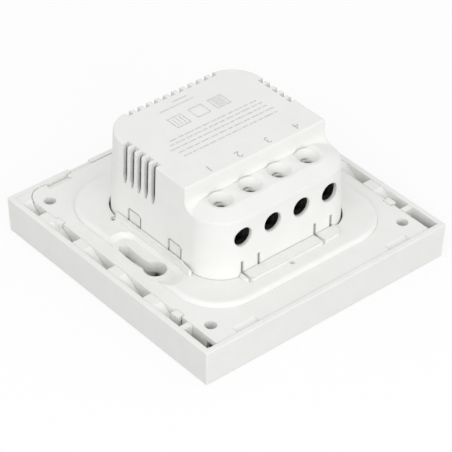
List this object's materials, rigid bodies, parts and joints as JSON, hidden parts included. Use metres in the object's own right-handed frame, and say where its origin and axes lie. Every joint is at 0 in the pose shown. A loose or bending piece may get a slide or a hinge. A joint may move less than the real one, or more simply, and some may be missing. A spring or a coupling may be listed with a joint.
{
  "type": "smart light switch",
  "caption": "Square flush wall switch with twin rockers on its front and a vented rounded mains module with a stepped terminal ledge on its back.",
  "frame": {"origin": "centre of the front face, on the plane it rests on", "axes": "+Z out of the back of the switch, into the wall; -Y towards the terminals; +X to the right seen from behind with the terminals down"},
  "size_m": [0.0856, 0.0856, 0.0373],
  "materials": {
    "bezel_plastic": "fine satin moulded white",
    "plate_plastic": "fine satin moulded white",
    "module_plastic": "fine satin moulded white",
    "rocker_plastic": "smooth satin white",
    "carrier_plastic": "satin off-white",
    "cover_plastic": "satin pale grey",
    "block_plastic": "dark moulded insulator",
    "zinc_steel": "zinc plated",
    "contact_brass": "bright",
    "shield_tin": "tinned",
    "board_green": "solder mask",
    "relay_case": "smooth case",
    "ferrite": "dark sintered",
    "winding_tape": "amber tape",
    "capacitor_sleeve": "shrink sleeve",
    "varistor_blue": "dipped coating",
    "fuse_body": "ceramic",
    "chip_black": "epoxy",
    "header_black": "moulded",
    "clear_guide": "clear",
    "lens_frost": "frosted",
    "led_face": "potted",
    "switch_body": "moulded",
    "plunger_plastic": "moulded"
  },
  "bodies": {
    "root": {"bezel_frame": "bezel_plastic", "mounting_plate": "plate_plastic", "rocker_carrier": "carrier_plastic", "rear_housing": "module_plastic", "inner_cover": "cover_plastic", "control_board": "board_green", "radio_module": "board_green", "radio_shield": "shield_tin", "board_connector": "header_black", "power_board": "board_green", "board_screws": "zinc_steel", "terminal_block": "block_plastic", "relay_left": "relay_case", "relay_right": "relay_case", "transformer_core": "ferrite", "transformer_winding": "winding_tape", "bulk_capacitor": "capacitor_sleeve", "output_capacitor": "capacitor_sleeve", "varistor": "varistor_blue", "fuse": "fuse_body", "bridge_rectifier": "chip_black", "light_guide_left": "clear_guide", "indicator_led_left": "led_face", "tact_switch_left": "switch_body", "light_guide_right": "clear_guide", "indicator_led_right": "led_face", "tact_switch_right": "switch_body", "terminal_contact_1": "contact_brass", "terminal_contact_2": "contact_brass", "terminal_contact_3": "contact_brass", "terminal_contact_4": "contact_brass"},
    "left_rocker": {"rocker_left": "rocker_plastic", "rocker_lens_left": "lens_frost"},
    "left_plunger": {"tact_plunger_left": "plunger_plastic"},
    "right_rocker": {"rocker_right": "rocker_plastic", "rocker_lens_right": "lens_frost"},
    "right_plunger": {"tact_plunger_right": "plunger_plastic"},
    "screw_1": {"terminal_screw_1": "zinc_steel"},
    "cage_1": {"clamp_cage_1": "zinc_steel"},
    "screw_2": {"terminal_screw_2": "zinc_steel"},
    "cage_2": {"clamp_cage_2": "zinc_steel"},
    "screw_3": {"terminal_screw_3": "zinc_steel"},
    "cage_3": {"clamp_cage_3": "zinc_steel"},
    "screw_4": {"terminal_screw_4": "zinc_steel"},
    "cage_4": {"clamp_cage_4": "zinc_steel"}
  },
  "joints": [
    {"name": "left_rocker_press", "type": "hinge", "parent": "root", "child": "left_rocker", "pos_m": [-0.0165, 0.0285, 0.0043], "axis": [-1, 0, 0], "range_deg": [0, 1.2], "stiffness_Nm_per_rad": 5.5},
    {"name": "left_plunger_press", "type": "slide", "parent": "root", "child": "left_plunger", "axis": [0, 0, 1], "range_m": [0, 0.00081]},
    {"name": "right_rocker_press", "type": "hinge", "parent": "root", "child": "right_rocker", "pos_m": [0.0165, 0.0285, 0.0043], "axis": [-1, 0, 0], "range_deg": [0, 1.2], "stiffness_Nm_per_rad": 5.5},
    {"name": "right_plunger_press", "type": "slide", "parent": "root", "child": "right_plunger", "axis": [0, 0, 1], "range_m": [0, 0.00081]},
    {"name": "screw_1_turn", "type": "hinge", "parent": "root", "child": "screw_1", "pos_m": [-0.0153, -0.0156, 0.0275], "axis": [0, 0, -1], "range_deg": [0, 720]},
    {"name": "cage_1_lift", "type": "slide", "parent": "root", "child": "cage_1", "axis": [0, 0, 1], "range_m": [0, 0.0012]},
    {"name": "screw_2_turn", "type": "hinge", "parent": "root", "child": "screw_2", "pos_m": [-0.0051, -0.0156, 0.0275], "axis": [0, 0, -1], "range_deg": [0, 720]},
    {"name": "cage_2_lift", "type": "slide", "parent": "root", "child": "cage_2", "axis": [0, 0, 1], "range_m": [0, 0.0012]},
    {"name": "screw_3_turn", "type": "hinge", "parent": "root", "child": "screw_3", "pos_m": [0.0051, -0.0156, 0.0275], "axis": [0, 0, -1], "range_deg": [0, 720]},
    {"name": "cage_3_lift", "type": "slide", "parent": "root", "child": "cage_3", "axis": [0, 0, 1], "range_m": [0, 0.0012]},
    {"name": "screw_4_turn", "type": "hinge", "parent": "root", "child": "screw_4", "pos_m": [0.0153, -0.0156, 0.0275], "axis": [0, 0, -1], "range_deg": [0, 720]},
    {"name": "cage_4_lift", "type": "slide", "parent": "root", "child": "cage_4", "axis": [0, 0, 1], "range_m": [0, 0.0012]}
  ],
  "couplings": [
    {"joint": "left_plunger_press", "follows": "left_rocker_press", "m_per_rad": 0.0385},
    {"joint": "right_plunger_press", "follows": "right_rocker_press", "m_per_rad": 0.0385},
    {"joint": "screw_1_turn", "follows": "cage_1_lift", "rad_per_m": 10472},
    {"joint": "screw_2_turn", "follows": "cage_2_lift", "rad_per_m": 10472},
    {"joint": "screw_3_turn", "follows": "cage_3_lift", "rad_per_m": 10472},
    {"joint": "screw_4_turn", "follows": "cage_4_lift", "rad_per_m": 10472}
  ]
}
